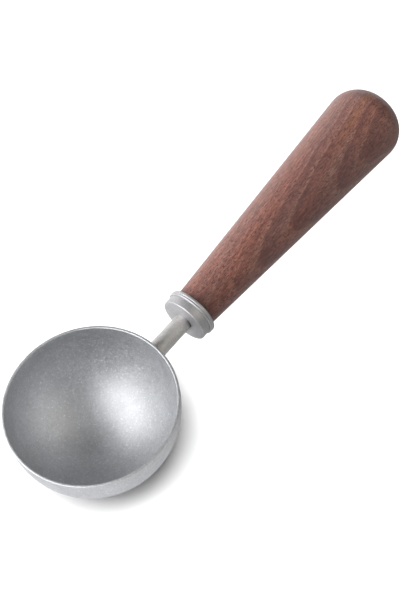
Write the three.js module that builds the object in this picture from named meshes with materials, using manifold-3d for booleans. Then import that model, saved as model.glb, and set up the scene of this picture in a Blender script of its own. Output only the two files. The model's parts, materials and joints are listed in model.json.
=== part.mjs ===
// Coffee scoop: a pressed steel bowl on a short round neck, a turned steel ferrule and a turned walnut
// handle glued onto the neck's tang. Millimetres, +Z up. The scoop lies on a table, on the ball of its bowl
// and the end of its handle, with the handle towards +X and the origin under the middle of its box.

import * as THREE from "three";
import { mergeVertices } from "three/addons/utils/BufferGeometryUtils.js";
import Module from "manifold-3d";

const wasm = await Module();
wasm.setup();

// Bowl: a half ball with a short straight lip, holding about 30 ml
const BOWL_DIAMETER = 48; // outside, at the rim
const BOWL_WALL = 0.8;
const LIP_HEIGHT = 2.4; // straight part above the half ball
const RIM_ROUND = 0.2; // softened edges of the rim

// Neck and tang: one round rod with a shoulder, welded to the outside of the bowl
const NECK_DIAMETER = 5.3;
const NECK_REACH = 13.6; // from the widest part of the bowl to the face of the ferrule
const NECK_DROP = 8.2; // from the rim down to the axis of neck and handle
const NECK_SEAT = 0.8; // how deep the neck sits in the face of the ferrule
const SHOULDER = 0.6; // step from the neck down to the tang
const TANG_LENGTH = 42; // from the shoulder to the tip
const TANG_CHAMFER = 0.5;
const WELD_LEG = 1.5; // reach of the weld along the neck and out over the bowl

// Ferrule: a disc, then a slightly larger flange with a fine groove and a socket for the wood
const DISC_LENGTH = 2.7;
const DISC_EDGE_ROUND = 0.4;
const FLANGE_STEP = 0.45; // how far the flange stands out from the disc
const FLANGE_LIP = 1.1; // steel left around the socket
const BEAD_LENGTH = 0.5; // flange in front of the groove
const GROOVE_DEPTH = 0.15; // a square-cornered V, twice as wide as deep
const RING_LENGTH = 0.8; // flange behind the groove
const RING_EDGE_ROUND = 0.25;

// Handle: a straight taper that grows towards a round end
const HANDLE_LENGTH = 91.3;
const HANDLE_FRONT_DIAMETER = 12.4;
const HANDLE_TAPER = 3.95; // degrees, on each side
const END_CORNER_RADIUS = 8.6;
const END_DOME_RADIUS = 32;
const CORNER_LIMIT = 0.95; // the corner's largest share of the handle's widest radius
const DRILL_POINT = 118; // degrees, the tip of the blind bore

// Glue between tang and wood
const GLUE_THICKNESS = 0.6;
const BORE_END_ROOM = 2; // bore left empty past the tang

// Clearance wherever two pieces meet
const FIT_GAP = 0.3;

// Fineness of round surfaces
const BOWL_SIDES = 64;
const BOWL_ARC_STEPS = 14;
const TURNED_SIDES = 56;
const ROD_SIDES = 32;
const EDGE_STEPS = 4;
const END_STEPS = 10;

// Sizes that follow from the ones above
const bowlRadius = BOWL_DIAMETER / 2;
const neckRadius = NECK_DIAMETER / 2;
const tangRadius = neckRadius - SHOULDER;
const boreRadius = tangRadius + GLUE_THICKNESS + 2 * FIT_GAP;
const taper = THREE.MathUtils.degToRad(HANDLE_TAPER);
const handleFrontRadius = HANDLE_FRONT_DIAMETER / 2;
const flangeLength = BEAD_LENGTH + 2 * GROOVE_DEPTH + RING_LENGTH;

// Places along the axis of neck and handle, from the axis of the bowl
const ferruleFace = bowlRadius + NECK_REACH;
const shoulderPlace = ferruleFace + NECK_SEAT - FIT_GAP;
const tangTip = shoulderPlace + TANG_LENGTH;
const socketFloor = ferruleFace + DISC_LENGTH;
const handleFront = socketFloor + FIT_GAP;

const steel = { color: 0xb4b6b9, roughness: 0.42, metalness: 1.0 };
const walnut = { color: 0x8a5a4c, roughness: 0.55, metalness: 0.0 };
const glue = { color: 0xc9b88a, roughness: 0.5, metalness: 0.0 };

// A profile point: distance from the axis, then place along it
function at(radius, along) {
  return new THREE.Vector2(radius, along);
}

// Points of a round stretch of a profile, angles in degrees from the outward direction
function arc(radius, along, size, from, to, steps) {
  const start = THREE.MathUtils.degToRad(from);
  const end = THREE.MathUtils.degToRad(to);
  return new THREE.EllipseCurve(radius, along, size, size, start, end, end < start).getPoints(steps);
}

// A solid turned about +Y from a profile that runs from the axis to the axis or closes on itself
function turned(profile, sides) {
  const distinct = profile.filter((point, i) => i === 0 || point.distanceTo(profile[i - 1]) > 1e-6);
  return new THREE.LatheGeometry(distinct, sides);
}

// Turns the lathe's axis from +Y to the axis of neck and handle, which runs along +X under the rim
function onHandleAxis(geometry) {
  return geometry.rotateZ(-Math.PI / 2).translate(0, 0, -NECK_DROP);
}

function toSolid(geometry) {
  const bare = geometry.clone();
  bare.deleteAttribute("normal");
  bare.deleteAttribute("uv");
  const merged = mergeVertices(bare);
  return new wasm.Manifold(
    new wasm.Mesh({
      numProp: 3,
      vertProperties: new Float32Array(merged.attributes.position.array),
      triVerts: new Uint32Array(merged.index.array),
    }),
  );
}

function fromSolid(solid) {
  const mesh = solid.getMesh();
  const geometry = new THREE.BufferGeometry();
  geometry.setAttribute("position", new THREE.BufferAttribute(mesh.vertProperties, 3));
  geometry.setIndex(new THREE.BufferAttribute(mesh.triVerts, 1));
  return geometry;
}

function cutBy(geometry, tool) {
  return fromSolid(toSolid(geometry).subtract(toSolid(tool)));
}

// Cuts away what lies inside the bowl, so that a piece follows the bowl's outside with a clearance
function copedToBowl(geometry) {
  const clear = bowlRadius + FIT_GAP;
  const profile = [...arc(0, -LIP_HEIGHT, clear, -90, 0, BOWL_ARC_STEPS), at(clear, 0), at(0, 0)];
  return cutBy(geometry, turned(profile, BOWL_SIDES).rotateX(Math.PI / 2));
}

function piece(name, geometry, finish) {
  const mesh = new THREE.Mesh(geometry, new THREE.MeshStandardMaterial(finish));
  mesh.name = name;
  return mesh;
}

function makeBowl() {
  const inside = bowlRadius - BOWL_WALL;
  const round = Math.min(RIM_ROUND, BOWL_WALL / 3);
  const profile = [
    ...arc(0, -LIP_HEIGHT, bowlRadius, -90, 0, BOWL_ARC_STEPS),
    ...arc(bowlRadius - round, -round, round, 0, 90, EDGE_STEPS),
    ...arc(inside + round, -round, round, 90, 180, EDGE_STEPS),
    ...arc(0, -LIP_HEIGHT, inside, 0, -90, BOWL_ARC_STEPS),
  ];
  return turned(profile, BOWL_SIDES).rotateX(Math.PI / 2);
}

// The rod starts inside the ball of the bowl, and the coping cut leaves its end curved
function makeShank() {
  const profile = [
    at(0, 0),
    at(neckRadius, 0),
    at(neckRadius, shoulderPlace),
    at(tangRadius, shoulderPlace),
    at(tangRadius, tangTip - TANG_CHAMFER),
    at(tangRadius - TANG_CHAMFER, tangTip),
    at(0, tangTip),
  ];
  return copedToBowl(onHandleAxis(turned(profile, ROD_SIDES)));
}

// A hollow fillet that stands square on the ball of the bowl where the axis of the neck meets it
function makeNeckWeld() {
  const neckClear = neckRadius + FIT_GAP;
  const foot = neckClear + WELD_LEG;
  const base = Math.sqrt((bowlRadius + FIT_GAP) ** 2 - foot ** 2);
  const toe = base + WELD_LEG;
  const lean = Math.asin((NECK_DROP - LIP_HEIGHT) / bowlRadius);
  const profile = [
    at(0, base - WELD_LEG),
    at(foot, base - WELD_LEG),
    ...arc(foot, toe, WELD_LEG, 270, 180, END_STEPS),
    at(0, toe),
  ];
  const fillet = turned(profile, ROD_SIDES).rotateZ(-Math.PI / 2).rotateY(lean).translate(0, 0, -LIP_HEIGHT);
  const rod = [at(0, 0), at(neckClear, 0), at(neckClear, ferruleFace), at(0, ferruleFace)];
  return cutBy(copedToBowl(fillet), onHandleAxis(turned(rod, ROD_SIDES)));
}

function makeFerrule() {
  const socketRadius = handleFrontRadius + flangeLength * Math.tan(taper) + FIT_GAP;
  const flangeRadius = socketRadius + FLANGE_LIP;
  const discRadius = flangeRadius - FLANGE_STEP;
  const seatRadius = neckRadius + FIT_GAP;
  const holeRadius = tangRadius + FIT_GAP;
  const seatFloor = ferruleFace + NECK_SEAT;
  const groove = socketFloor + BEAD_LENGTH + GROOVE_DEPTH;
  const back = socketFloor + flangeLength;
  const discRound = Math.min(DISC_EDGE_ROUND, DISC_LENGTH / 2);
  const beadRound = Math.min(FLANGE_STEP, BEAD_LENGTH);
  const ringRound = Math.min(RING_EDGE_ROUND, RING_LENGTH, FLANGE_LIP / 2);
  const profile = [
    at(holeRadius, seatFloor),
    at(seatRadius, seatFloor),
    at(seatRadius, ferruleFace),
    ...arc(discRadius - discRound, ferruleFace + discRound, discRound, -90, 0, EDGE_STEPS),
    at(discRadius, socketFloor),
    ...arc(flangeRadius - beadRound, socketFloor + beadRound, beadRound, -90, 0, EDGE_STEPS),
    at(flangeRadius, groove - GROOVE_DEPTH),
    at(flangeRadius - GROOVE_DEPTH, groove),
    at(flangeRadius, groove + GROOVE_DEPTH),
    ...arc(flangeRadius - ringRound, back - ringRound, ringRound, 0, 90, EDGE_STEPS),
    at(socketRadius, back),
    at(socketRadius, socketFloor),
    at(holeRadius, socketFloor),
    at(holeRadius, seatFloor),
  ];
  return onHandleAxis(turned(profile, TURNED_SIDES));
}

// The corner at the handle's end touches both the taper and the end dome: its centre lies one corner radius
// inside the taper, and as far from the dome's centre as their radii differ. It stays off the axis.
function endCorner() {
  const slope = Math.tan(taper);
  const widest = handleFrontRadius + slope * (HANDLE_LENGTH - END_CORNER_RADIUS);
  const size = Math.min(END_CORNER_RADIUS, widest * CORNER_LIMIT);
  const domeCentre = HANDLE_LENGTH - END_DOME_RADIUS;
  const base = handleFrontRadius - size / Math.cos(taper);
  const a = 1 + slope ** 2;
  const b = slope * base - domeCentre;
  const c = domeCentre ** 2 + base ** 2 - (END_DOME_RADIUS - size) ** 2;
  const along = (-b + Math.sqrt(b ** 2 - a * c)) / a;
  return { size, along, radius: base + slope * along, domeCentre };
}

function makeHandle() {
  const corner = endCorner();
  const domeAngle = THREE.MathUtils.radToDeg(Math.atan2(corner.along - corner.domeCentre, corner.radius));
  const boreDepth = tangTip - handleFront + BORE_END_ROOM;
  const drillTip = boreRadius / Math.tan(THREE.MathUtils.degToRad(DRILL_POINT / 2));
  const profile = [
    at(0, boreDepth + drillTip),
    at(boreRadius, boreDepth),
    at(boreRadius, 0),
    at(handleFrontRadius, 0),
    ...arc(corner.radius, corner.along, corner.size, -HANDLE_TAPER, domeAngle, END_STEPS),
    ...arc(0, corner.domeCentre, END_DOME_RADIUS, domeAngle, 90, END_STEPS / 2),
  ];
  return onHandleAxis(turned(profile, TURNED_SIDES).translate(0, handleFront, 0));
}

function makeGlue() {
  const inner = tangRadius + FIT_GAP;
  const outer = inner + GLUE_THICKNESS;
  const profile = [
    at(inner, handleFront),
    at(outer, handleFront),
    at(outer, tangTip),
    at(inner, tangTip),
    at(inner, handleFront),
  ];
  return onHandleAxis(turned(profile, ROD_SIDES));
}

// Angle of the table to the rim: the line that touches the ball of the bowl and the handle's end corner
function restAngle() {
  const corner = endCorner();
  const ahead = handleFront + corner.along;
  const below = NECK_DROP + corner.radius - LIP_HEIGHT;
  const apart = Math.hypot(ahead, below);
  return Math.asin((bowlRadius - corner.size) / apart) - Math.atan2(below, ahead);
}

const scoop = new THREE.Group();
scoop.add(piece("bowl", makeBowl(), steel));
scoop.add(piece("neck_weld", makeNeckWeld(), steel));
scoop.add(piece("shank", makeShank(), steel));
scoop.add(piece("ferrule", makeFerrule(), steel));
scoop.add(piece("tang_glue", makeGlue(), glue));
scoop.add(piece("handle", makeHandle(), walnut));

// Lay the scoop on the table, with the origin under the middle of its box
scoop.rotation.y = restAngle();
const box = new THREE.Box3().setFromObject(scoop, true);
scoop.position.set(-(box.min.x + box.max.x) / 2, -(box.min.y + box.max.y) / 2, -box.min.z);
scoop.updateMatrixWorld(true);

export default scoop;
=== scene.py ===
# %% [markdown]
# # A coffee scoop in steel and walnut
# The scoop has a pressed steel bowl, a short round neck, a turned steel ferrule and a turned walnut handle.
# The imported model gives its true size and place. This lesson models each piece again with fine, smooth meshes,
# gives it a finish made of nodes, and lights it as on a photographer's white table.

# %% Load the frame
import json
import math

import bpy
from mathutils import Matrix, Quaternion, Vector


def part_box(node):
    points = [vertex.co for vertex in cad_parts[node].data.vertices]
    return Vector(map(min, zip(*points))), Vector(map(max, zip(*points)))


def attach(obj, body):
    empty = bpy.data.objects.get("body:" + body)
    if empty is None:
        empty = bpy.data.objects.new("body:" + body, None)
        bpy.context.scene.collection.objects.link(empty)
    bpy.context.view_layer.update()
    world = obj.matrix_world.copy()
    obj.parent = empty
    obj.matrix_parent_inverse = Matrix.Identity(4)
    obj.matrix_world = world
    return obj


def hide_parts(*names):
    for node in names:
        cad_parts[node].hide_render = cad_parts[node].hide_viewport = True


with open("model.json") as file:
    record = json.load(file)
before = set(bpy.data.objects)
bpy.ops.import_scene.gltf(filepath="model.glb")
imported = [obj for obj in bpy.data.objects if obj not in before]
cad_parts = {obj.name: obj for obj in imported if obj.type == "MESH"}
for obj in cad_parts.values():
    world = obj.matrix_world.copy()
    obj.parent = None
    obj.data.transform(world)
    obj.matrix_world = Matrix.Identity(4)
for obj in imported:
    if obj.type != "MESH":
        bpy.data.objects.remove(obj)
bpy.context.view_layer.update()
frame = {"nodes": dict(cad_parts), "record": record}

MM = 0.001

# %% [markdown]
# ## The camera
# The picture looks down on the scoop from the side of the bowl, with the camera rolled a little. A camera is
# easiest to place from an aim point: how far away it stands, round which way, how high, and its roll.

# %% Place the camera
AIM = Vector((-7.1, 2.2, 12.0)) * MM
CAMERA_DISTANCE = 364.7 * MM
CAMERA_AZIMUTH = math.radians(-38.3)  # 0 looks along +Y
CAMERA_ELEVATION = math.radians(59.85)
CAMERA_ROLL = math.radians(14.48)
LENS_MM = 76.1
SENSOR_MM = 36.0  # along the longer side of the picture
CLIP_START = 10 * MM


def direction(azimuth, elevation):
    """The way from the aim point to something that stands at this azimuth and elevation."""
    level = math.cos(elevation)
    return Vector((math.sin(azimuth) * level, -math.cos(azimuth) * level, math.sin(elevation)))


to_camera = direction(CAMERA_AZIMUTH, CAMERA_ELEVATION)
upright = (-to_camera).to_track_quat("-Z", "Y")
rolled = upright @ Quaternion((0, 0, 1), -CAMERA_ROLL)
bpy.ops.object.camera_add(location=AIM + to_camera * CAMERA_DISTANCE, rotation=rolled.to_euler())
camera = bpy.context.object
camera.data.lens = LENS_MM
camera.data.sensor_width = SENSOR_MM
camera.data.clip_start = CLIP_START
bpy.context.scene.camera = camera
bpy.context.scene.view_settings.view_transform = "Standard"
print("camera stands", round(camera.location.z / MM), "mm above the table")

# %% [markdown]
# ## The workshop and the table
# A scoop is easiest to model upright: the ball of the bowl round the origin, its rim level, and the handle along
# +X. At the end each piece is laid down as the real one lies, on the ball of the bowl and the end of the handle.
# The slope of the rim in the frame says how far it tips over.

# %% Measure how the scoop lies
bowl_low, bowl_high = (Vector(corner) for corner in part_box("bowl"))
BOWL_RADIUS = (bowl_high.y - bowl_low.y) / 2
rim_up = Vector(frame["record"]["mounts"][0]["axis"])
REST_TILT = math.atan2(rim_up.x, rim_up.z)
ball_centre = Vector((bowl_low.x + BOWL_RADIUS, 0, bowl_low.z + BOWL_RADIUS))
print("bowl radius", round(BOWL_RADIUS / MM, 2), "mm, tipped by", round(math.degrees(REST_TILT), 2), "degrees")


def clear_selection():
    """Leaves edit mode and deselects everything, so that the next operator acts on its own piece alone."""
    if bpy.context.object and bpy.context.object.mode == "EDIT":
        bpy.ops.object.mode_set(mode="OBJECT")
    bpy.ops.object.select_all(action="DESELECT")


def name_piece(name):
    """Names the primitive that was just added, and opens it in edit mode with its place in its mesh."""
    piece = bpy.context.object
    piece.name = name
    piece.data.name = name
    bpy.ops.object.transform_apply(location=True, rotation=True, scale=True)
    bpy.ops.object.mode_set(mode="EDIT")
    return piece


def choose(piece, test):
    """Selects the vertices whose place passes the test, with the edges and faces between them."""
    bpy.ops.mesh.select_mode(type="VERT")
    bpy.ops.mesh.select_all(action="DESELECT")
    bpy.ops.object.mode_set(mode="OBJECT")
    for vertex in piece.data.vertices:
        vertex.select = test(vertex.co)
    bpy.ops.object.mode_set(mode="EDIT")


def apply_modifier(piece, kind, **settings):
    """Adds a modifier with these settings and makes its result the mesh."""
    bpy.ops.object.mode_set(mode="OBJECT")
    modifier = piece.modifiers.new(kind.lower(), kind)
    for key, value in settings.items():
        setattr(modifier, key, value)
    bpy.ops.object.modifier_apply(modifier=modifier.name)


MERGE_DISTANCE = 0.002 * MM


def lay_down(piece, smooth_angle=40):
    """Tidies the mesh, smooths it and lays the piece on the table, with the object itself at the origin."""
    bpy.ops.object.mode_set(mode="EDIT")
    bpy.ops.mesh.select_all(action="SELECT")
    bpy.ops.mesh.remove_doubles(threshold=MERGE_DISTANCE)
    bpy.ops.object.mode_set(mode="OBJECT")
    bpy.ops.object.shade_smooth_by_angle(angle=math.radians(smooth_angle))
    piece.rotation_euler = (0, REST_TILT, 0)
    piece.location = ball_centre
    bpy.ops.object.transform_apply(location=True, rotation=True, scale=True)
    low = min(vertex.co.z for vertex in piece.data.vertices)
    print(piece.name, "has", len(piece.data.polygons), "faces and comes down to", round(low / MM, 2), "mm")


# %% [markdown]
# ## The bowl
# The real bowl is pressed from sheet steel: a half ball with a short straight lip. A ball primitive that is cut in
# two gives the half ball at once. The cut edge is pulled up for the lip, the wall gets its thickness inwards, and
# the two edges of the rim are softened, because they catch the light all the way round.

# %% Model the bowl
BOWL_WALL = 0.8 * MM
LIP_HEIGHT = 2.4 * MM
TOLERANCE = 0.01 * MM
BOWL_SIDES = 160

clear_selection()
bpy.ops.mesh.primitive_uv_sphere_add(segments=BOWL_SIDES, ring_count=BOWL_SIDES // 2, radius=BOWL_RADIUS)
bowl = name_piece("scoop_bowl")
bpy.ops.mesh.select_all(action="SELECT")
bpy.ops.mesh.bisect(plane_co=(0, 0, 0), plane_no=(0, 0, 1), clear_outer=True)
choose(bowl, lambda place: place.z > -TOLERANCE)
bpy.ops.mesh.extrude_region_move(TRANSFORM_OT_translate={"value": (0, 0, LIP_HEIGHT)})
bpy.ops.mesh.select_all(action="SELECT")
bpy.ops.mesh.normals_make_consistent(inside=False)
apply_modifier(bowl, "SOLIDIFY", thickness=BOWL_WALL, offset=-1, use_even_offset=True)

# %% Soften the rim
RIM_ROUND = 0.25 * MM
RIM_STEPS = 4

bpy.ops.object.mode_set(mode="EDIT")
choose(bowl, lambda place: place.z > LIP_HEIGHT - TOLERANCE)
bpy.ops.mesh.region_to_loop()
bpy.ops.mesh.bevel(offset=RIM_ROUND, segments=RIM_STEPS, affect="EDGES")
lay_down(bowl)

# %% [markdown]
# ## The neck and its tang
# Neck and tang are one steel rod. A cylinder is the rod. Its far end is inset for the shoulder and pulled out into
# the tang that the wood hides. The near end is coped, which means cut to the shape of what it meets: a ball as
# large as the middle of the bowl's wall is cut away from it.

# %% Model the neck
AXIS_DROP = 8.2 * MM - LIP_HEIGHT  # from the centre of the ball down to the axis of the handle
NECK_RADIUS = 2.65 * MM
FERRULE_FACE = BOWL_RADIUS + 13.6 * MM
NECK_SEAT = 0.8 * MM
SHOULDER = 0.6 * MM
TANG_LENGTH = 41.7 * MM
TANG_CHAMFER = 0.5 * MM
COPE_ROOM = 4 * BOWL_WALL  # how far the rod first runs into the ball
NECK_SIDES = 64
ALONG_X = (0, math.pi / 2, 0)

neck_end = FERRULE_FACE + NECK_SEAT
neck_start = BOWL_RADIUS - COPE_ROOM
clear_selection()
bpy.ops.mesh.primitive_cylinder_add(
    vertices=NECK_SIDES,
    radius=NECK_RADIUS,
    depth=neck_end - neck_start,
    location=((neck_start + neck_end) / 2, 0, -AXIS_DROP),
    rotation=ALONG_X,
)
neck = name_piece("scoop_neck")
choose(neck, lambda place: place.x > neck_end - TOLERANCE)
bpy.ops.mesh.inset(thickness=SHOULDER)
bpy.ops.mesh.extrude_region_move(TRANSFORM_OT_translate={"value": (TANG_LENGTH, 0, 0)})
bpy.ops.mesh.region_to_loop()
bpy.ops.mesh.bevel(offset=TANG_CHAMFER, segments=1, affect="EDGES")

# %% Cope the neck to the bowl
clear_selection()
bpy.ops.mesh.primitive_uv_sphere_add(
    segments=2 * NECK_SIDES, ring_count=NECK_SIDES, radius=BOWL_RADIUS - BOWL_WALL / 2
)
coping_ball = bpy.context.object
bpy.context.view_layer.objects.active = neck
apply_modifier(neck, "BOOLEAN", object=coping_ball, operation="DIFFERENCE", solver="EXACT")
bpy.data.objects.remove(coping_ball)
neck.select_set(True)
lay_down(neck)

# %% [markdown]
# ## The weld
# A fillet of weld metal joins the neck to the outside of the bowl. Its foot is a ring that stands square on the ball,
# and its toe is a ring round the neck. Two circles and a bridge between them make the skin, drawn in at the
# waist as a real fillet is. A little unevenness tells hand work from a casting.

# %% Model the weld
WELD_LEG = 1.5 * MM
WELD_SINK = 0.15 * MM  # how far foot and toe lie under the steel that they join
WELD_UNEVEN = 0.025 * MM
WELD_WAIST = -0.22  # below 0 draws the skin in
WELD_SIDES = 96
WELD_STEPS = 10

lean = math.asin(AXIS_DROP / BOWL_RADIUS)
square_to_ball = (0, math.pi / 2 + lean, 0)
weld_axis = Vector((math.cos(lean), 0, -math.sin(lean)))
foot_radius = NECK_RADIUS + WELD_LEG
foot_place = math.sqrt(BOWL_RADIUS**2 - foot_radius**2) - WELD_SINK
toe_place = BOWL_RADIUS + WELD_LEG
toe_shift = Vector((0, 0, 1)) * (toe_place * math.sin(lean) - AXIS_DROP)

clear_selection()
bpy.ops.mesh.primitive_circle_add(
    vertices=WELD_SIDES, radius=foot_radius, location=weld_axis * foot_place, rotation=square_to_ball
)
weld = name_piece("scoop_weld")
bpy.ops.mesh.primitive_circle_add(
    vertices=WELD_SIDES,
    radius=NECK_RADIUS - WELD_SINK / 3,
    location=weld_axis * toe_place + toe_shift,
    rotation=square_to_ball,
)
bpy.ops.mesh.select_all(action="SELECT")
bpy.ops.mesh.bridge_edge_loops(
    number_cuts=WELD_STEPS, interpolation="LINEAR", profile_shape="SPHERE", profile_shape_factor=WELD_WAIST
)
bpy.ops.mesh.select_all(action="SELECT")
bpy.ops.transform.vertex_random(offset=WELD_UNEVEN, uniform=0, normal=1, seed=3)
bpy.ops.mesh.normals_make_consistent(inside=False)
apply_modifier(weld, "SOLIDIFY", thickness=WELD_SINK, offset=-1)
lay_down(weld, smooth_angle=60)

# %% [markdown]
# ## The ferrule
# The ferrule is turned from bar: a disc with a rounded front edge, then a slightly larger flange with a fine groove,
# hollow behind to take the wood. It starts as a cylinder. Each step of the turner is one pull on the back face:
# out to the flange, along, into the groove and out again. The socket is an inset pushed back in.

# %% Model the ferrule
DISC_LENGTH = 2.7 * MM
DISC_RADIUS = 7.26 * MM
FLANGE_STEP = 0.45 * MM
BEAD_LENGTH = 0.5 * MM
GROOVE_DEPTH = 0.15 * MM
RING_LENGTH = 0.8 * MM
SOCKET_RADIUS = 6.61 * MM
SEAT_GAP = 0.04 * MM
TURNED_SIDES = 160

flange_front = FERRULE_FACE + DISC_LENGTH
FLANGE_RADIUS = DISC_RADIUS + FLANGE_STEP
flange_back = flange_front + BEAD_LENGTH + 2 * GROOVE_DEPTH + RING_LENGTH


def pull(along, radius_from=1, radius_to=1):
    """Extrudes the selected face along +X and scales it about the handle's axis, as a lathe tool moves."""
    scale = radius_to / radius_from
    bpy.ops.mesh.extrude_region_move(TRANSFORM_OT_translate={"value": (along, 0, 0)})
    bpy.ops.transform.resize(value=(1, scale, scale), center_override=(0, 0, -AXIS_DROP))


clear_selection()
bpy.ops.mesh.primitive_cylinder_add(
    vertices=TURNED_SIDES,
    radius=DISC_RADIUS,
    depth=DISC_LENGTH,
    location=((FERRULE_FACE + flange_front) / 2, 0, -AXIS_DROP),
    rotation=ALONG_X,
)
ferrule = name_piece("scoop_ferrule")
choose(ferrule, lambda place: place.x > flange_front - TOLERANCE)
pull(0, DISC_RADIUS, FLANGE_RADIUS)
pull(BEAD_LENGTH)
pull(GROOVE_DEPTH, FLANGE_RADIUS, FLANGE_RADIUS - GROOVE_DEPTH)
pull(GROOVE_DEPTH, FLANGE_RADIUS - GROOVE_DEPTH, FLANGE_RADIUS)
pull(RING_LENGTH)
pull(0, FLANGE_RADIUS, SOCKET_RADIUS)
pull(flange_front - flange_back)

# %% Seat for the neck, and rounded edges
choose(ferrule, lambda place: place.x < FERRULE_FACE + TOLERANCE)
pull(0, DISC_RADIUS, NECK_RADIUS + SEAT_GAP)
pull(NECK_SEAT)


def round_edge(piece, place_along, radius, size, steps):
    """Bevels the ring of edges that lies at this place along the axis, at this distance from it."""

    def on_ring(place):
        away = math.hypot(place.y, place.z + AXIS_DROP)
        return abs(place.x - place_along) < TOLERANCE and abs(away - radius) < TOLERANCE

    choose(piece, on_ring)
    bpy.ops.mesh.bevel(offset=size, segments=steps, affect="EDGES")


groove_front = flange_front + BEAD_LENGTH
FERRULE_EDGES = (  # place along the axis, radius there, size of the rounding, its steps
    (FERRULE_FACE, DISC_RADIUS, 0.32 * MM, 6),
    (flange_front, FLANGE_RADIUS, 0.28 * MM, 6),
    (groove_front, FLANGE_RADIUS, 0.05 * MM, 3),
    (groove_front + 2 * GROOVE_DEPTH, FLANGE_RADIUS, 0.08 * MM, 3),
    (flange_back, FLANGE_RADIUS, 0.28 * MM, 5),
    (flange_back, SOCKET_RADIUS, 0.15 * MM, 3),
)
for edge in FERRULE_EDGES:
    round_edge(ferrule, *edge)
lay_down(ferrule)

# %% [markdown]
# ## The handle
# The handle is turned walnut: a straight taper that grows towards a round end. It is modelled as a turner works, from
# one station to the next: the ring of edges is pulled along and scaled. The end is two arcs that touch, a tight
# corner and a shallow dome, so its stations come from a formula.

# %% Sizes of the handle
HANDLE_LENGTH = 91.3 * MM
HANDLE_FRONT_RADIUS = 6.2 * MM
HANDLE_TAPER = math.radians(3.95)
CORNER_RADIUS = 8.6 * MM
DOME_RADIUS = 32 * MM
BORE_RADIUS = 3.2 * MM
BORE_DEPTH = 41.5 * MM
SEAT_CLEARANCE = 0.25 * MM

handle_front = flange_front + SEAT_CLEARANCE
slope = math.tan(HANDLE_TAPER)
dome_centre = HANDLE_LENGTH - DOME_RADIUS
corner_base = HANDLE_FRONT_RADIUS - CORNER_RADIUS / math.cos(HANDLE_TAPER)
# The centre of the corner lies where a * along**2 + 2 * b * along + c is 0.
a = 1 + slope**2
b = slope * corner_base - dome_centre
c = dome_centre**2 + corner_base**2 - (DOME_RADIUS - CORNER_RADIUS) ** 2
corner_along = (-b + math.sqrt(b**2 - a * c)) / a
corner_out = corner_base + slope * corner_along
dome_angle = math.atan2(corner_along - dome_centre, corner_out)

# %% Stations from front to end
TAPER_STEPS = 16
CORNER_STEPS = 28
DOME_STEPS = 10
taper_end = corner_along - CORNER_RADIUS * math.sin(HANDLE_TAPER)
stations = []
for i in range(1, TAPER_STEPS):
    along = taper_end * i / TAPER_STEPS
    stations.append((along, HANDLE_FRONT_RADIUS + slope * along))
for i in range(CORNER_STEPS + 1):
    turn = -HANDLE_TAPER + (dome_angle + HANDLE_TAPER) * i / CORNER_STEPS
    stations.append((corner_along + CORNER_RADIUS * math.sin(turn), corner_out + CORNER_RADIUS * math.cos(turn)))
for i in range(1, DOME_STEPS):
    turn = dome_angle + (math.pi / 2 - dome_angle) * i / DOME_STEPS
    stations.append((dome_centre + DOME_RADIUS * math.sin(turn), DOME_RADIUS * math.cos(turn)))
print("the handle is", round(2 * max(radius for along, radius in stations) / MM, 1), "mm thick at its widest")

# %% Turn the handle
clear_selection()
bpy.ops.mesh.primitive_circle_add(
    vertices=TURNED_SIDES, radius=HANDLE_FRONT_RADIUS, location=(handle_front, 0, -AXIS_DROP), rotation=ALONG_X
)
handle = name_piece("scoop_handle")
bpy.ops.mesh.select_all(action="SELECT")
here, radius = 0, HANDLE_FRONT_RADIUS
for along, next_radius in stations:
    pull(along - here, radius, next_radius)
    here, radius = along, next_radius
bpy.ops.mesh.extrude_region_move(TRANSFORM_OT_translate={"value": (HANDLE_LENGTH - here, 0, 0)})
bpy.ops.mesh.merge(type="CENTER")

# %% Bore the handle
FRONT_ROUND = 0.3 * MM
FRONT_STEPS = 3

choose(handle, lambda place: place.x < handle_front + TOLERANCE)
pull(0, HANDLE_FRONT_RADIUS, BORE_RADIUS)
pull(BORE_DEPTH)
bpy.ops.mesh.edge_face_add()
bpy.ops.mesh.select_all(action="SELECT")
bpy.ops.mesh.normals_make_consistent(inside=False)
round_edge(handle, handle_front, HANDLE_FRONT_RADIUS, FRONT_ROUND, FRONT_STEPS)
lay_down(handle)

# %% [markdown]
# ## Nodes
# Each finish is a small network of nodes. A few helpers keep the lines short: they add a node and set its inputs by
# name, join two sockets, and make the ramps and mixes that every finish needs.

# %% Helpers for nodes


def add_node(tree, kind, **inputs):
    """Adds a shader node and sets the inputs that are given, with spaces written as underscores."""
    node = tree.nodes.new("ShaderNode" + kind)
    for name, value in inputs.items():
        node.inputs[name.replace("_", " ")].default_value = value
    return node


def join(tree, source, source_socket, target, target_socket):
    """Joins an output to an input, each by its name or number."""
    tree.links.new(source.outputs[source_socket], target.inputs[target_socket])


def colour_ramp(tree, source, socket, stops):
    """Turns a value into a colour by (position, colour) stops, with colours in linear light."""
    ramp = tree.nodes.new("ShaderNodeValToRGB")
    elements = ramp.color_ramp.elements
    while len(elements) < len(stops):
        elements.new(0.5)
    for element, (position, colour) in zip(elements, stops):
        element.position = position
        element.color = (*colour, 1)
    join(tree, source, socket, ramp, "Fac")
    return ramp


def spread(tree, source, socket, low, high, to_low=0.0, to_high=1.0):
    """Stretches the part of a value between low and high, and clamps the rest."""
    node = add_node(tree, "MapRange", From_Min=low, From_Max=high, To_Min=to_low, To_Max=to_high)
    join(tree, source, socket, node, "Value")
    return node


def calculate(tree, operation, *sides):
    """A step of arithmetic. Each side is a number or a (node, socket) pair."""
    node = tree.nodes.new("ShaderNodeMath")
    node.operation = operation
    for side, socket in zip(sides, node.inputs):
        if isinstance(side, tuple):
            tree.links.new(side[0].outputs[side[1]], socket)
        else:
            socket.default_value = side
    return node


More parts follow.
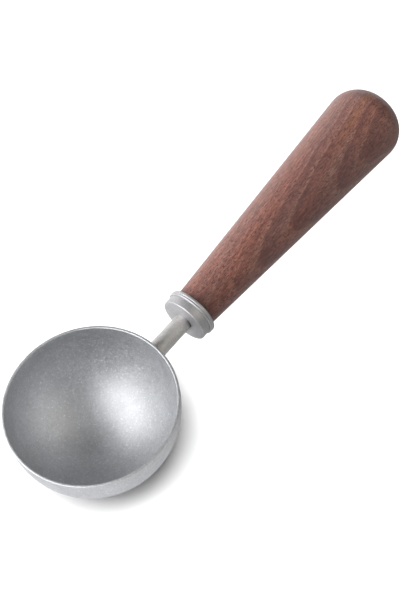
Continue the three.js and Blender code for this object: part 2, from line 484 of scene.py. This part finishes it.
def mix_colours(tree, blend, factor, first, second):
    """Mixes two nodes' colours. The factor is a number or a (node, socket) pair."""
    node = tree.nodes.new("ShaderNodeMix")
    node.data_type = "RGBA"
    node.blend_type = blend
    sockets = [socket for socket in node.inputs if socket.enabled]
    if isinstance(factor, tuple):
        tree.links.new(factor[0].outputs[factor[1]], sockets[0])
    else:
        sockets[0].default_value = factor
    for side, socket in ((first, sockets[1]), (second, sockets[2])):
        if isinstance(side, tuple):
            socket.default_value = (*side, 1)
        else:
            tree.links.new(next(output for output in side.outputs if output.enabled), socket)
    return node


def mixed(node):
    """The output socket of a colour mix."""
    return next(index for index, output in enumerate(node.outputs) if output.enabled)


def new_finish(name):
    """A material with an empty Principled shader."""
    finish = bpy.data.materials.new(name)
    finish.use_nodes = True
    return finish, finish.node_tree, finish.node_tree.nodes["Principled BSDF"]


def dress(piece, finish, node):
    """Gives a piece its finish and its body, and hides the solid that it stands for."""
    piece.data.materials.clear()
    piece.data.materials.append(finish)
    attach(piece, "root")
    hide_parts(node)


# %% [markdown]
# ## Millimetres along the handle
# Patterns are easier to think of in millimetres than in metres, and grain and lathe lines follow the handle. One node
# group turns Object coordinates into millimetres with X along the handle's axis. Every finish starts from it.

# %% The place group
lie = Matrix.Rotation(-REST_TILT, 3, "Y")
axis_start = lie @ (ball_centre / MM) + Vector((0, 0, -AXIS_DROP / MM))
place_group = bpy.data.node_groups.new("place_along_handle", "ShaderNodeTree")
place_group.interface.new_socket("Place", in_out="OUTPUT", socket_type="NodeSocketVector")
group_out = place_group.nodes.new("NodeGroupOutput")
object_place = add_node(place_group, "TexCoord")
along_handle = add_node(
    place_group, "Mapping", Scale=(1 / MM, 1 / MM, 1 / MM), Rotation=(0, -REST_TILT, 0), Location=-axis_start
)
join(place_group, object_place, "Object", along_handle, "Vector")
join(place_group, along_handle, "Vector", group_out, "Place")


def place_in_mm(tree):
    """Adds the place group to a tree."""
    node = tree.nodes.new("ShaderNodeGroup")
    node.node_tree = place_group
    return node


def noise_along(tree, place, stretch, scale, detail=2.0, roughness=0.5, shift=(0, 0, 0)):
    """Noise on a place in millimetres, shifted to a part of the pattern and stretched along its axes."""
    stretched = add_node(tree, "Mapping", Scale=stretch, Location=shift)
    join(tree, place, 0, stretched, "Vector")
    noise = add_node(tree, "TexNoise", Scale=scale, Detail=detail, Roughness=roughness)
    join(tree, stretched, "Vector", noise, "Vector")
    return noise


# %% [markdown]
# ## Tumbled steel
# The steel has been tumbled with small stones, which leaves a soft satin with fine flecks and a faint cloud. Here and
# there a painted glint makes its colour brighter. Every steel piece shows it, so it is one node group with its own
# inputs. It gives out only values: the materials turn them into colour, gloss and relief.

# %% The tumbled grain group
GRAIN_RANGE = (0.28, 0.72)  # the part of the noise that is used
# painted glint: where the sparkle noise peaks, the steel's colour is made brighter
PAINTED_GLINT_RANGE = (0.68, 0.75)  # only its highest peaks glint

grain_group = bpy.data.node_groups.new("tumbled_grain", "ShaderNodeTree")
for socket_name, default in (("Sparkle Scale", 2.2), ("Fleck Scale", 0.9), ("Cloud Scale", 0.16)):
    socket = grain_group.interface.new_socket(socket_name, in_out="INPUT", socket_type="NodeSocketFloat")
    socket.default_value = default
for socket_name in ("Sparkle", "Fleck", "Cloud", "Painted Glint"):
    grain_group.interface.new_socket(socket_name, in_out="OUTPUT", socket_type="NodeSocketFloat")
group_in = grain_group.nodes.new("NodeGroupInput")
group_out = grain_group.nodes.new("NodeGroupOutput")
place = place_in_mm(grain_group)
for socket_name, detail in (("Sparkle", 1.0), ("Fleck", 2.0), ("Cloud", 3.0)):
    noise = add_node(grain_group, "TexNoise", Detail=detail, Roughness=0.55)
    join(grain_group, place, "Place", noise, "Vector")
    join(grain_group, group_in, socket_name + " Scale", noise, "Scale")
    stretched = spread(grain_group, noise, "Fac", *GRAIN_RANGE)
    join(grain_group, stretched, "Result", group_out, socket_name)
    if socket_name == "Sparkle":
        painted_glint = spread(grain_group, noise, "Fac", *PAINTED_GLINT_RANGE)
        join(grain_group, painted_glint, "Result", group_out, "Painted Glint")
print("group", grain_group.name, "has", len(grain_group.nodes), "nodes")

# %% A function for steel finishes
STEEL_AT_GRAZING = (0.8, 0.8, 0.8, 1)  # satin steel turns less bright at a low angle than a mirror does
PAINTED_GLINT_GAIN = 1.22
GLOSS_SWING = 0.06
GRAIN_DEPTH = 0.04 * MM


def steel_finish(name, colour, roughness, speckle=0.10, flecking=0.10, clouding=0.05, relief=0.25):
    """Satin steel: the grain moves its colour, gloss and relief."""
    finish, tree, shader = new_finish(name)
    shader.inputs["Metallic"].default_value = 1.0
    shader.inputs["Specular Tint"].default_value = STEEL_AT_GRAZING
    grain = tree.nodes.new("ShaderNodeGroup")
    grain.node_tree = grain_group
    dark = tuple(channel * (1 - speckle) for channel in colour)
    light = tuple(channel * (1 + speckle) for channel in colour)
    sparkle = colour_ramp(tree, grain, "Sparkle", [(0.0, dark), (1.0, light)])
    fleck = colour_ramp(tree, grain, "Fleck", [(0.0, (1 - flecking,) * 3), (1.0, (1.0,) * 3)])
    cloud = colour_ramp(tree, grain, "Cloud", [(0.0, (1 - clouding,) * 3), (1.0, (1.0,) * 3)])
    flecked = mix_colours(tree, "MULTIPLY", 1.0, sparkle, fleck)
    clouded = mix_colours(tree, "MULTIPLY", 1.0, flecked, cloud)
    # painted glint: a brighter colour at the highest peaks of the sparkle
    bright = tuple(channel * PAINTED_GLINT_GAIN for channel in colour)
    painted_glint_colour = mix_colours(tree, "MIX", (grain, "Painted Glint"), clouded, bright)
    join(tree, painted_glint_colour, mixed(painted_glint_colour), shader, "Base Color")
    gloss = spread(tree, grain, "Fleck", 0.0, 1.0, roughness - GLOSS_SWING, roughness + GLOSS_SWING)
    join(tree, gloss, "Result", shader, "Roughness")
    bump = add_node(tree, "Bump", Strength=relief, Distance=GRAIN_DEPTH)
    join(tree, grain, "Sparkle", bump, "Height")
    join(tree, bump, "Normal", shader, "Normal")
    return finish


bowl_steel = steel_finish(
    "tumbled_bowl_steel", (0.624, 0.634, 0.655), 0.57, speckle=0.08, flecking=0.16, clouding=0.11
)
dress(bowl, bowl_steel, "bowl")
weld_steel = steel_finish("brushed_weld_steel", (0.52, 0.52, 0.53), 0.48, relief=0.5)
dress(weld, weld_steel, "neck_weld")

# %% [markdown]
# ## Turned steel
# Neck and ferrule were polished while they turned and then tumbled too, so little is left of the fine scratches that
# run round them. What is left stretches each highlight along the axis: a touch of the shader's anisotropy does
# that, with a tangent that runs round the axis. Very fine lathe lines break up the gloss, and the corner where the
# neck meets the disc carries painted shade: its colour is darkened there on the neck's right side.

# %% The turned finishes
QUARTER_TURN = 0.25
LATHE_LINES = (6.0, 0.05, 0.05)  # per mm: fine along the axis, long round it
LINE_SWING = 0.05


def turned_finish(name, colour, roughness, anisotropy):
    """Satin steel with scratches round the handle's axis."""
    finish = steel_finish(name, colour, roughness, speckle=0.07, relief=0.15)
    tree = finish.node_tree
    shader = tree.nodes["Principled BSDF"]
    shader.inputs["Anisotropic"].default_value = anisotropy
    shader.inputs["Anisotropic Rotation"].default_value = QUARTER_TURN
    tangent = tree.nodes.new("ShaderNodeTangent")
    tangent.direction_type = "RADIAL"
    tangent.axis = "X"
    join(tree, tangent, "Tangent", shader, "Tangent")
    lines = noise_along(tree, place_in_mm(tree), LATHE_LINES, 1.0, detail=1.0)
    gloss = spread(tree, lines, "Fac", 0.3, 0.7, roughness - LINE_SWING, roughness + LINE_SWING)
    join(tree, gloss, "Result", shader, "Roughness")
    return finish


ferrule_steel = turned_finish("turned_ferrule_steel", (0.500, 0.496, 0.510), 0.56, anisotropy=0.1)
neck_steel = turned_finish("polished_neck_steel", (0.580, 0.570, 0.560), 0.60, anisotropy=0.1)
dress(ferrule, ferrule_steel, "ferrule")
dress(neck, neck_steel, "shank")

# %% Painted shade in the corner behind the neck
NECK_SHADE_COLOUR = (0.06, 0.055, 0.05)
NECK_SHADE_WIDTH = 1.1  # mm along the neck
NECK_SHADE_ACROSS = (-0.1, -1.0)  # from the middle to the right side, in radii of the neck

tree = neck_steel.node_tree
shader = tree.nodes["Principled BSDF"]
neck_place = tree.nodes.new("ShaderNodeSeparateXYZ")
join(tree, place_in_mm(tree), "Place", neck_place, "Vector")
face = FERRULE_FACE / MM
near_disc = spread(tree, neck_place, "X", face - NECK_SHADE_WIDTH, face)
right_side = spread(tree, neck_place, "Y", *(share * NECK_RADIUS / MM for share in NECK_SHADE_ACROSS))
# painted shade: the neck's colour turns dark next to the disc, on its right side, away from the lamps
neck_shade = calculate(tree, "MULTIPLY", (near_disc, "Result"), (right_side, "Result"))
unshaded_neck = shader.inputs["Base Color"].links[0].from_node
shaded_neck = mix_colours(tree, "MIX", (neck_shade, "Value"), unshaded_neck, NECK_SHADE_COLOUR)
join(tree, shaded_neck, mixed(shaded_neck), shader, "Base Color")

# %% [markdown]
# ## Walnut
# In a short stick the year rings of the tree are nearly flat layers, and the fibres run in them, a little askew to the
# axis. Turning a taper cuts through one layer after another, and each cut shows as a tongue, like the flames on a
# turned bat. A solid texture does that by itself once it is turned so that X runs with the fibres and Z through the
# rings, and it carries on round every side and over the end.

# %% Turn the grain
fibre_way = Vector((1.0, 0.19, 0.15)).normalized()
ring_way = Vector((0.08, -0.88, 0.47))
ring_way = (ring_way - fibre_way * ring_way.dot(fibre_way)).normalized()
grain_turn = Matrix((fibre_way, ring_way.cross(fibre_way), ring_way))
grain_start = grain_turn @ Vector((handle_front / MM, 0, 0))

walnut, tree, shader = new_finish("oiled_walnut")
grain = add_node(tree, "Mapping", Rotation=grain_turn.to_euler(), Location=-grain_start)
join(tree, place_in_mm(tree), "Place", grain, "Vector")
print("the fibres lie", round(math.degrees(fibre_way.angle((1, 0, 0)))), "degrees off the axis")

# %% Year rings
# Each ring starts at a dark edge and pales up to the next one: its edge in mm, and how pale that edge is.
RINGS = (
    (-13.0, 0.35), (-10.4, 0.25), (-8.3, 0.40), (-6.6, 0.25), (-4.4, 0.40), (-2.0, 0.45), (0.4, 0.55), (2.6, 0.50),
    (4.9, 0.45), (6.4, 0.40), (7.5, 0.25), (8.5, 0.20), (10.0, 0.0), (12.6, 0.0), (15.7, 0.0), (17.7, 0.1),
    (20.3, 0.1),
)
RING_EDGE = 0.35  # mm from the palest wood of a ring to the next dark edge
RING_WANDER = 1.6  # mm that the edges wander
RING_FRAY = 0.9  # mm that they fray
ring_low, ring_span = RINGS[0][0], RINGS[-1][0] - RINGS[0][0]
ring_stops = []
for (edge, paleness), (next_edge, _) in zip(RINGS, RINGS[1:]):
    ring_stops.append(((edge - ring_low) / ring_span, (paleness,) * 3))
    ring_stops.append(((next_edge - RING_EDGE - ring_low) / ring_span, (1.0,) * 3))
across_grain = tree.nodes.new("ShaderNodeSeparateXYZ")
join(tree, grain, "Vector", across_grain, "Vector")
wander = noise_along(tree, grain, stretch=(0.12, 0.5, 0.5), scale=0.5)
bent = calculate(tree, "MULTIPLY_ADD", (wander, "Fac"), RING_WANDER, (across_grain, "Z"))
fray = noise_along(tree, grain, stretch=(0.10, 1.0, 1.0), scale=1.5)
frayed = calculate(tree, "MULTIPLY_ADD", (fray, "Fac"), RING_FRAY, (bent, "Value"))
ring_shift = (RING_WANDER + RING_FRAY) / 2  # the mean of both
ring_start = ring_low + ring_shift
ring_place = spread(tree, frayed, "Value", ring_start, ring_start + ring_span)
rings = colour_ramp(tree, ring_place, "Result", ring_stops)

# %% Broad figure
STREAK_SWING = 0.9
FIGURE = [  # from the dark edge of a ring to its palest wood
    (0.0, (0.187, 0.078, 0.069)),
    (0.35, (0.227, 0.097, 0.082)),
    (0.7, (0.270, 0.122, 0.099)),
    (1.0, (0.304, 0.155, 0.123)),
]
WARM_TINT = (1.18, 0.98, 0.86)

streaks = noise_along(tree, grain, stretch=(0.12, 1.0, 1.0), scale=0.7, detail=3.0, roughness=0.6)
streaked = calculate(tree, "MULTIPLY_ADD", (streaks, "Fac"), STREAK_SWING, -STREAK_SWING / 2)
ring_tone = calculate(tree, "ADD", (rings, "Color"), (streaked, "Value"))
figure = colour_ramp(tree, ring_tone, "Value", FIGURE)
warmth = noise_along(tree, grain, stretch=(0.10, 1.0, 1.0), scale=0.16, shift=(40, 9, 3))
warm = spread(tree, warmth, "Fac", 0.42, 0.68)
warmed = mix_colours(tree, "MULTIPLY", (warm, "Result"), figure, WARM_TINT)

# %% A honey-coloured streak near the end
HONEY_COLOUR = (0.325, 0.136, 0.075)
HONEY_RISE, HONEY_FALL = (12.5, 13.3), (15.2, 14.0)  # mm across the rings
HONEY_ALONG = (58, 74)  # mm along the fibres
HONEY_SHARE = 0.75

rise = spread(tree, frayed, "Value", *(edge + ring_shift for edge in HONEY_RISE))
fall = spread(tree, frayed, "Value", *(edge + ring_shift for edge in HONEY_FALL))
along = spread(tree, across_grain, "X", *HONEY_ALONG, 0.0, HONEY_SHARE)
core = calculate(tree, "MULTIPLY", (rise, "Result"), (fall, "Result"))
honey = calculate(tree, "MULTIPLY", (core, "Value"), (along, "Result"))
honeyed = mix_colours(tree, "MIX", (honey, "Value"), warmed, HONEY_COLOUR)

# %% Fibres and pores
FIBRE_TONES = [(0.37, (0.46, 0.42, 0.42)), (0.60, (1.0, 1.0, 1.0))]
PORE_COLOUR = (0.075, 0.030, 0.026)
PORE_RANGE = (0.55, 0.61)

along_axis = place_in_mm(tree)
fibres = noise_along(tree, along_axis, stretch=(0.10, 1.0, 1.0), scale=3.6, detail=3.0, roughness=0.72)
fibre_tone = colour_ramp(tree, fibres, "Fac", FIBRE_TONES)
fibred = mix_colours(tree, "MULTIPLY", 1.0, honeyed, fibre_tone)
pores = noise_along(tree, along_axis, stretch=(0.20, 1.0, 1.0), scale=5.2, detail=1.0, shift=(5, 3, 8))
pore_mask = spread(tree, pores, "Fac", *PORE_RANGE)
pored = mix_colours(tree, "MIX", (pore_mask, "Result"), fibred, PORE_COLOUR)

# %% Painted shade on the wood next to the ferrule, most on its right side, and a painted shadow line where they meet
WOOD_SHADE_TINT = (0.66, 0.60, 0.60)
WOOD_SHADE_LENGTH = 14  # mm
WOOD_SHADE_ACROSS = (4.5, -1.0)  # mm, from the left side to the right
SHADOW_LINE_COLOUR = (0.030, 0.015, 0.013)
SHADOW_LINE_WIDTH = 0.7  # mm

back_of_ferrule = flange_back / MM
along_wood = tree.nodes.new("ShaderNodeSeparateXYZ")
join(tree, along_axis, "Place", along_wood, "Vector")
# painted shade: the wood's colour is darkened for some mm behind the ferrule, more on the right side, away from the
# lamps
shade_near_ferrule = spread(tree, along_wood, "X", back_of_ferrule, back_of_ferrule + WOOD_SHADE_LENGTH, 0.9, 0.0)
shade_on_right = spread(tree, along_wood, "Y", *WOOD_SHADE_ACROSS, 0.2, 1.0)
wood_shade = calculate(tree, "MULTIPLY", (shade_near_ferrule, "Result"), (shade_on_right, "Result"))
shaded_wood = mix_colours(tree, "MULTIPLY", (wood_shade, "Value"), pored, WOOD_SHADE_TINT)
# painted shadow: a dark line on the wood where it comes out of the ferrule
in_shadow_line = spread(tree, along_wood, "X", back_of_ferrule, back_of_ferrule + SHADOW_LINE_WIDTH, 0.7, 0.0)
shadow_lined = mix_colours(tree, "MIX", (in_shadow_line, "Result"), shaded_wood, SHADOW_LINE_COLOUR)
join(tree, shadow_lined, mixed(shadow_lined), shader, "Base Color")

# %% Gloss and relief of the wood
WOOD_GLOSS = (0.46, 0.58)
FIBRE_DEPTH = 0.05 * MM
PORE_DEPTH = 0.08 * MM

shader.inputs["Sheen Weight"].default_value = 0.2
shader.inputs["Sheen Roughness"].default_value = 0.4
gloss = spread(tree, fibres, "Fac", 0.3, 0.7, *WOOD_GLOSS)
join(tree, gloss, "Result", shader, "Roughness")
fibre_bump = add_node(tree, "Bump", Strength=0.3, Distance=FIBRE_DEPTH)
join(tree, fibres, "Fac", fibre_bump, "Height")
pore_bump = add_node(tree, "Bump", Strength=0.5, Distance=PORE_DEPTH)
pore_bump.invert = True
join(tree, pore_mask, "Result", pore_bump, "Height")
join(tree, fibre_bump, "Normal", pore_bump, "Normal")
join(tree, pore_bump, "Normal", shader, "Normal")
dress(handle, walnut, "handle")
print("walnut has", len(tree.nodes), "nodes and", len(RINGS) - 1, "rings")

# %% [markdown]
# ## The glue
# The glue round the tang is hidden in the wood. Its solid stays as it is, and only gets the honey colour of cured
# epoxy with a few cloudy streaks.

# %% The glue finish
EPOXY_TONES = [(0.3, (0.42, 0.30, 0.12)), (0.7, (0.66, 0.54, 0.30))]

epoxy, tree, shader = new_finish("cured_epoxy")
shader.inputs["Roughness"].default_value = 0.45
streaks = noise_along(tree, place_in_mm(tree), stretch=(0.4, 1.0, 1.0), scale=0.5)
cloudy = colour_ramp(tree, streaks, "Fac", EPOXY_TONES)
join(tree, cloudy, "Color", shader, "Base Color")
glue = frame["nodes"]["tang_glue"]
glue.data.materials.clear()
glue.data.materials.append(epoxy)
print(glue.name, "stays and is dressed in", epoxy.name)

# %% [markdown]
# ## Table and light
# The table is plain white card. The camera sees it as pure white wherever nothing shades it, and out to where it ends.
# Steel shows it less bright, most of all on the left where the lamps stand, and the light that it throws back on
# the scoop stays that of ordinary card. Light Path tells these rays apart. The lamps are linked to what they light:
# a high one gives the table its soft shadow, nearly all of it that of the bowl, and the soft boxes light the scoop.
# Two low strips and two small cards light the handle, its wood or the neck alone, so that the bowl keeps its satin
# from behind too.

# %% The table
TABLE_SIZE = 4.0  # m

clear_selection()
bpy.ops.mesh.primitive_plane_add(size=TABLE_SIZE)
table = bpy.context.object
table.name = "table"
card, tree, shader = new_finish("white_card")
tree.nodes.remove(shader)
table.data.materials.append(card)
print("the table is", TABLE_SIZE, "m wide")

# %% The card, as each kind of ray sees it
CARD_WHITE = 1.0  # to the camera
CARD_SPAN = (-95 * MM, -5 * MM)  # from in front of the bowl to the ferrule
# painted light and shade on the card as steel sees it: darker towards the ferrule, brighter on its left side behind
# the bowl, next to the lamps
CARD_SHADED_IN_STEEL = [(0.0, (0.68,) * 3), (0.76, (0.50,) * 3), (1.0, (0.24,) * 3)]  # to a reflection, along that span
CARD_PAINTED_LIGHT = 0.75  # how much brighter a reflection of its left side is, next to the lamps
CARD_LIGHT_ALONG = (-62 * MM, -42 * MM)  # where along X that comes in, behind the bowl
CARD_LIGHT_ACROSS = (-10 * MM, 6 * MM)  # and where along Y
CARD_BOUNCE = 0.45  # to the soft light that it throws back

paths = tree.nodes.new("ShaderNodeLightPath")
card_place = tree.nodes.new("ShaderNodeTexCoord")
along_card = tree.nodes.new("ShaderNodeSeparateXYZ")
join(tree, card_place, "Object", along_card, "Vector")
# painted shade and painted light on the card, for reflections only
painted_card_shade = colour_ramp(tree, spread(tree, along_card, "X", *CARD_SPAN), "Result", CARD_SHADED_IN_STEEL)
behind_bowl = spread(tree, along_card, "X", *CARD_LIGHT_ALONG)
painted_card_light = spread(tree, along_card, "Y", *CARD_LIGHT_ACROSS, 0.0, CARD_PAINTED_LIGHT)
painted_light_and_shade = calculate(tree, "MULTIPLY_ADD", (behind_bowl, "Result"), (painted_card_light, "Result"), (painted_card_shade, "Color"))
mirrored = add_node(tree, "MapRange", To_Min=CARD_BOUNCE)
join(tree, painted_light_and_shade, "Value", mirrored, "To Max")
join(tree, paths, "Is Glossy Ray", mirrored, "Value")
seen = calculate(tree, "MAXIMUM", (paths, "Is Camera Ray"), (paths, "Is Transmission Ray"))
white = add_node(tree, "MapRange", To_Max=CARD_WHITE)
join(tree, mirrored, "Result", white, "To Min")
join(tree, seen, "Value", white, "Value")
diffuse = tree.nodes.new("ShaderNodeBsdfDiffuse")
join(tree, white, "Result", diffuse, "Color")

# %% The card far away, and from below
WHITE_FROM, WHITE_TO = 0.14, 0.24  # m from the middle of the scoop

away = tree.nodes.new("ShaderNodeVectorMath")
away.operation = "LENGTH"
join(tree, card_place, "Object", away, 0)
far_off = spread(tree, away, "Value", WHITE_FROM, WHITE_TO)
far_seen = calculate(tree, "MULTIPLY", (far_off, "Result"), (seen, "Value"))
endless_white = tree.nodes.new("ShaderNodeEmission")
top_side = tree.nodes.new("ShaderNodeMixShader")
join(tree, far_seen, "Value", top_side, "Fac")
join(tree, diffuse, "BSDF", top_side, 1)
join(tree, endless_white, "Emission", top_side, 2)
sides = tree.nodes.new("ShaderNodeNewGeometry")
see_through = tree.nodes.new("ShaderNodeBsdfTransparent")
one_sided = tree.nodes.new("ShaderNodeMixShader")
join(tree, sides, "Backfacing", one_sided, "Fac")
join(tree, top_side, "Shader", one_sided, 1)
join(tree, see_through, "BSDF", one_sided, 2)
join(tree, one_sided, "Shader", tree.nodes["Material Output"], "Surface")
print(card.name, "has", len(tree.nodes), "nodes")

# %% What each lamp lights


def gather(name, *pieces):
    """Puts pieces in a collection that a lamp can be linked to."""
    collection = bpy.data.collections.new(name)
    for piece in pieces:
        collection.objects.link(piece)
    print(name, "holds", len(pieces))
    return collection


on_table = gather("lit_table", table)
on_scoop = gather("lit_scoop", bowl, neck, weld, ferrule, handle, glue)
on_handle = gather("lit_handle", neck, weld, ferrule, handle, glue)
on_wood = gather("lit_wood", handle)
on_neck = gather("lit_neck", neck)
shading_bowl = gather("shading_bowl", bowl)

# %% A function for soft boxes


def soft_box(name, lit, azimuth, elevation, distance, width, height, radiance):
    """A soft box that faces the scoop and lights one collection. Radiance 1 is as bright as white paper."""
    away = direction(math.radians(azimuth), math.radians(elevation))
    turned_in = away.to_track_quat("Z", "Y").to_euler()
    bpy.ops.object.light_add(type="AREA", location=AIM + away * distance, rotation=turned_in)
    lamp = bpy.context.object
    lamp.name = name
    lamp.data.shape = "RECTANGLE"
    lamp.data.size = width
    lamp.data.size_y = height
    lamp.data.energy = radiance * math.pi * width * height
    lamp.light_linking.receiver_collection = lit
    print(name, "gives", round(lamp.data.energy, 2), "watts")
    return lamp


# %% The lamp of the table
TABLE_LAMP = dict(azimuth=290, elevation=78, distance=0.8, width=0.52, height=0.52)
soft_box("table_lamp", on_table, **TABLE_LAMP, radiance=3.0)
table_fill = soft_box("table_fill", on_table, **TABLE_LAMP, radiance=11.4)
table_fill.light_linking.blocker_collection = shading_bowl

# %% The soft boxes of the scoop
BOX_DISTANCE = 0.7
WARM_CARD = (1.0, 0.95, 0.84)
SOFT_BOXES = (  # name, what it lights, azimuth, elevation, width, height, radiance
    ("left_back_box", on_scoop, 216, 36, 0.44, 0.44, 5.0),
    ("left_box", on_scoop, 252, 36, 0.44, 0.44, 1.9),
    ("left_front_box", on_scoop, 288, 36, 0.44, 0.44, 1.05),
    ("high_back_box", on_scoop, 216, 50, 0.44, 0.44, 1.2),
    ("high_left_box", on_scoop, 270, 50, 0.44, 0.44, 3.4),
    ("low_left_box", on_scoop, 265, 22, 0.44, 0.44, 1.6),
    ("low_left_strip", on_scoop, 240, 18, 0.60, 0.30, 1.3),
    ("low_handle_strip", on_handle, 240, 18, 0.60, 0.30, 4.6),
    ("low_back_strip", on_handle, 150, 12, 0.60, 0.30, 2.4),
    ("end_card", on_wood, 140, 45, 0.44, 0.44, 1.4),
    ("neck_card", on_neck, 0, 9, 0.40, 0.20, 1.1),
    ("right_card", on_scoop, 36, 36, 0.44, 0.44, 2.0),
)
for name, lit, azimuth, elevation, width, height, radiance in SOFT_BOXES:
    box = soft_box(name, lit, azimuth, elevation, BOX_DISTANCE, width, height, radiance)
box.data.color = WARM_CARD  # the last one, the card on the right

# %% The room
ROOM_LIGHT = 0.02
ROOM_IN_STEEL = 0.1  # to a reflection; the camera sees white

room = bpy.data.worlds.new("grey_room")
room.use_nodes = True
bpy.context.scene.world = room
tree = room.node_tree
backdrop = tree.nodes["Background"]
paths = tree.nodes.new("ShaderNodeLightPath")
mirrored = add_node(tree, "MapRange", To_Min=ROOM_LIGHT, To_Max=ROOM_IN_STEEL)
join(tree, paths, "Is Glossy Ray", mirrored, "Value")
seen = calculate(tree, "MAXIMUM", (paths, "Is Camera Ray"), (paths, "Is Transmission Ray"))
strength = add_node(tree, "MapRange", To_Max=CARD_WHITE)
join(tree, mirrored, "Result", strength, "To Min")
join(tree, seen, "Value", strength, "Value")
backdrop.inputs["Color"].default_value = (1, 1, 1, 1)
join(tree, strength, "Result", backdrop, "Strength")
print(room.name, "has", len(tree.nodes), "nodes")
